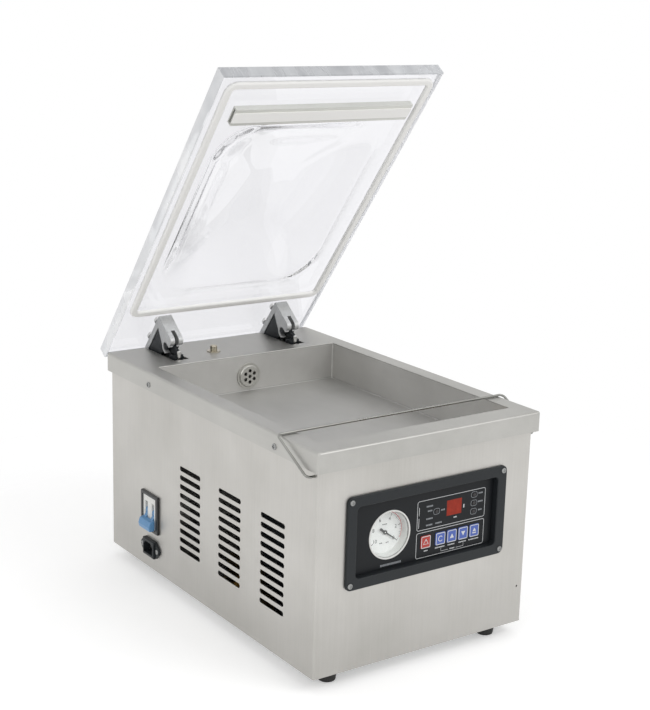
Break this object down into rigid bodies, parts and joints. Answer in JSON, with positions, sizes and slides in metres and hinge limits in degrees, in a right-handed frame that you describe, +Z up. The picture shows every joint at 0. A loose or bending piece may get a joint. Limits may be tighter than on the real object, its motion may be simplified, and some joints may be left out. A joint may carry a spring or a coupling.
{
  "type": "chamber vacuum sealer",
  "caption": "Tabletop chamber vacuum sealer: stainless cabinet with a sunk chamber, clear domed lid on sprung hinge arms, wire bail, panel with gauge and keys, vents, breaker and mains inlet.",
  "frame": {"origin": "on the surface the feet stand on, under the middle of the outline with the lid open", "axes": "+Z up, +Y to the back where the lid hinges, +X to the right seen from the front; the panel faces -Y"},
  "size_m": [0.345, 0.5416, 0.7022],
  "materials": {
    "brushed_stainless": "brushed sheet",
    "polished_stainless": "drawn sheet, satin",
    "zinc_sheet": "plain sheet",
    "clear_acrylic": "clear, polished edges",
    "silicone": "soft white",
    "cast_aluminium": "satin casting",
    "black_plastic": "moulded",
    "black_rubber": "matte",
    "bright_steel": "polished",
    "panel_moulding": "black, fine grain",
    "panel_film": "black printed film",
    "red_plastic": "moulded",
    "blue_plastic": "moulded",
    "red_filter": "dark red filter",
    "white_plastic": "moulded",
    "clear_lens": "clear",
    "brass": "turned",
    "ptfe_tape": "woven tape",
    "element_alloy": "flat band",
    "pump_iron": "painted casting",
    "motor_paint": "painted",
    "core_steel": "varnished laminations",
    "board": "circuit board",
    "hose_rubber": "ribbed hose",
    "spring_steel": "drawn wire"
  },
  "bodies": {
    "cabinet": {"outer_casing": "brushed_stainless", "rear_panel": "brushed_stainless", "base_plate": "zinc_sheet", "rubber_feet": "black_rubber", "top_deck": "polished_stainless", "chamber_tub": "polished_stainless", "suction_fitting": "bright_steel", "casing_screws": "bright_steel", "panel_bezel": "panel_moulding", "panel_overlay": "panel_film", "display_window": "red_filter", "indicator_lamps": "red_plastic", "panel_screws": "bright_steel", "gauge_case": "white_plastic", "gauge_dial": "white_plastic", "gauge_lens": "clear_lens", "breaker_frame": "black_plastic", "breaker_body": "white_plastic", "inlet_housing": "black_plastic", "inlet_blades": "bright_steel", "hinge_bases": "zinc_sheet", "hinge_pins": "bright_steel", "lid_switch_body": "brass", "lid_springs": "spring_steel", "rod_brackets": "zinc_sheet", "vacuum_pump": "pump_iron", "pump_motor": "motor_paint", "vacuum_hose": "hose_rubber", "seal_transformer": "core_steel", "solenoid_valves": "brass", "control_board": "board", "lift_cylinders": "cast_aluminium"},
    "lid": {"lid": "clear_acrylic", "lid_gasket": "silicone", "counter_bar": "cast_aluminium", "counter_bar_pad": "silicone", "hinge_arm_left": "cast_aluminium", "hinge_arm_right": "cast_aluminium", "hinge_bolts": "bright_steel"},
    "push_rod_left": {"rod_head_left": "black_plastic", "push_rod_left": "bright_steel"},
    "push_rod_right": {"rod_head_right": "black_plastic", "push_rod_right": "bright_steel"},
    "bail": {"hold_down_bail": "bright_steel"},
    "seal_bar": {"seal_bar": "cast_aluminium", "heating_element": "element_alloy", "release_tape": "ptfe_tape", "lift_posts": "bright_steel"},
    "stop_key": {"stop_key": "red_plastic"},
    "set_key": {"set_key": "blue_plastic"},
    "up_key": {"up_key": "blue_plastic"},
    "down_key": {"down_key": "blue_plastic"},
    "enter_key": {"enter_key": "blue_plastic"},
    "breaker_toggle": {"breaker_toggle": "blue_plastic"},
    "lid_switch": {"lid_switch_plunger": "brass"},
    "gauge_needle": {"gauge_needle": "black_plastic"}
  },
  "joints": [
    {"name": "lid_hinge", "type": "hinge", "parent": "cabinet", "child": "lid", "pos_m": [0, 0.23617, 0.2805], "axis": [1, 0, 0], "range_deg": [0, 52.3], "stiffness_Nm_per_rad": 4, "springref_deg": -97.4, "deforming": ["lid_springs", "lid_gasket"]},
    {"name": "rod_pivot_left", "type": "hinge", "parent": "lid", "child": "push_rod_left", "pos_m": [-0.0953, 0.19017, 0.31042], "axis": [1, 0, 0], "range_deg": [-52.4, 0]},
    {"name": "rod_pivot_right", "type": "hinge", "parent": "lid", "child": "push_rod_right", "pos_m": [0.0953, 0.19017, 0.31042], "axis": [1, 0, 0], "range_deg": [-52.4, 0]},
    {"name": "bail_hinge", "type": "hinge", "parent": "cabinet", "child": "bail", "pos_m": [0, -0.25563, 0.265], "axis": [1, 0, 0], "range_deg": [0, 228]},
    {"name": "seal_bar_lift", "type": "slide", "parent": "cabinet", "child": "seal_bar", "axis": [0, 0, 1], "range_m": [0, 0.009]},
    {"name": "stop_key_press", "type": "slide", "parent": "cabinet", "child": "stop_key", "axis": [0, 1, 0], "range_m": [0, 0.0005], "stiffness_N_per_m": 1500, "springref_m": -0.0008},
    {"name": "set_key_press", "type": "slide", "parent": "cabinet", "child": "set_key", "axis": [0, 1, 0], "range_m": [0, 0.0005], "stiffness_N_per_m": 1500, "springref_m": -0.0008},
    {"name": "up_key_press", "type": "slide", "parent": "cabinet", "child": "up_key", "axis": [0, 1, 0], "range_m": [0, 0.0005], "stiffness_N_per_m": 1500, "springref_m": -0.0008},
    {"name": "down_key_press", "type": "slide", "parent": "cabinet", "child": "down_key", "axis": [0, 1, 0], "range_m": [0, 0.0005], "stiffness_N_per_m": 1500, "springref_m": -0.0008},
    {"name": "enter_key_press", "type": "slide", "parent": "cabinet", "child": "enter_key", "axis": [0, 1, 0], "range_m": [0, 0.0005], "stiffness_N_per_m": 1500, "springref_m": -0.0008},
    {"name": "breaker_throw", "type": "hinge", "parent": "cabinet", "child": "breaker_toggle", "pos_m": [-0.156, 0.12987, 0.0995], "axis": [0, 1, 0], "range_deg": [0, 100]},
    {"name": "lid_switch_press", "type": "slide", "parent": "cabinet", "child": "lid_switch", "axis": [0, 0, -1], "range_m": [0, 0.0057]},
    {"name": "gauge_sweep", "type": "hinge", "parent": "cabinet", "child": "gauge_needle", "pos_m": [-0.0526, -0.24513, 0.175], "axis": [0, -1, 0], "range_deg": [0, 252], "stiffness_Nm_per_rad": 0.0001, "springref_deg": -17.19}
  ],
  "couplings": [
    {"joint": "rod_pivot_left", "follows": "lid_hinge", "ratio": -1},
    {"joint": "rod_pivot_right", "follows": "lid_hinge", "ratio": -1},
    {"joint": "lid_switch_press", "follows": "lid_hinge", "m_per_rad": 0.006135}
  ]
}
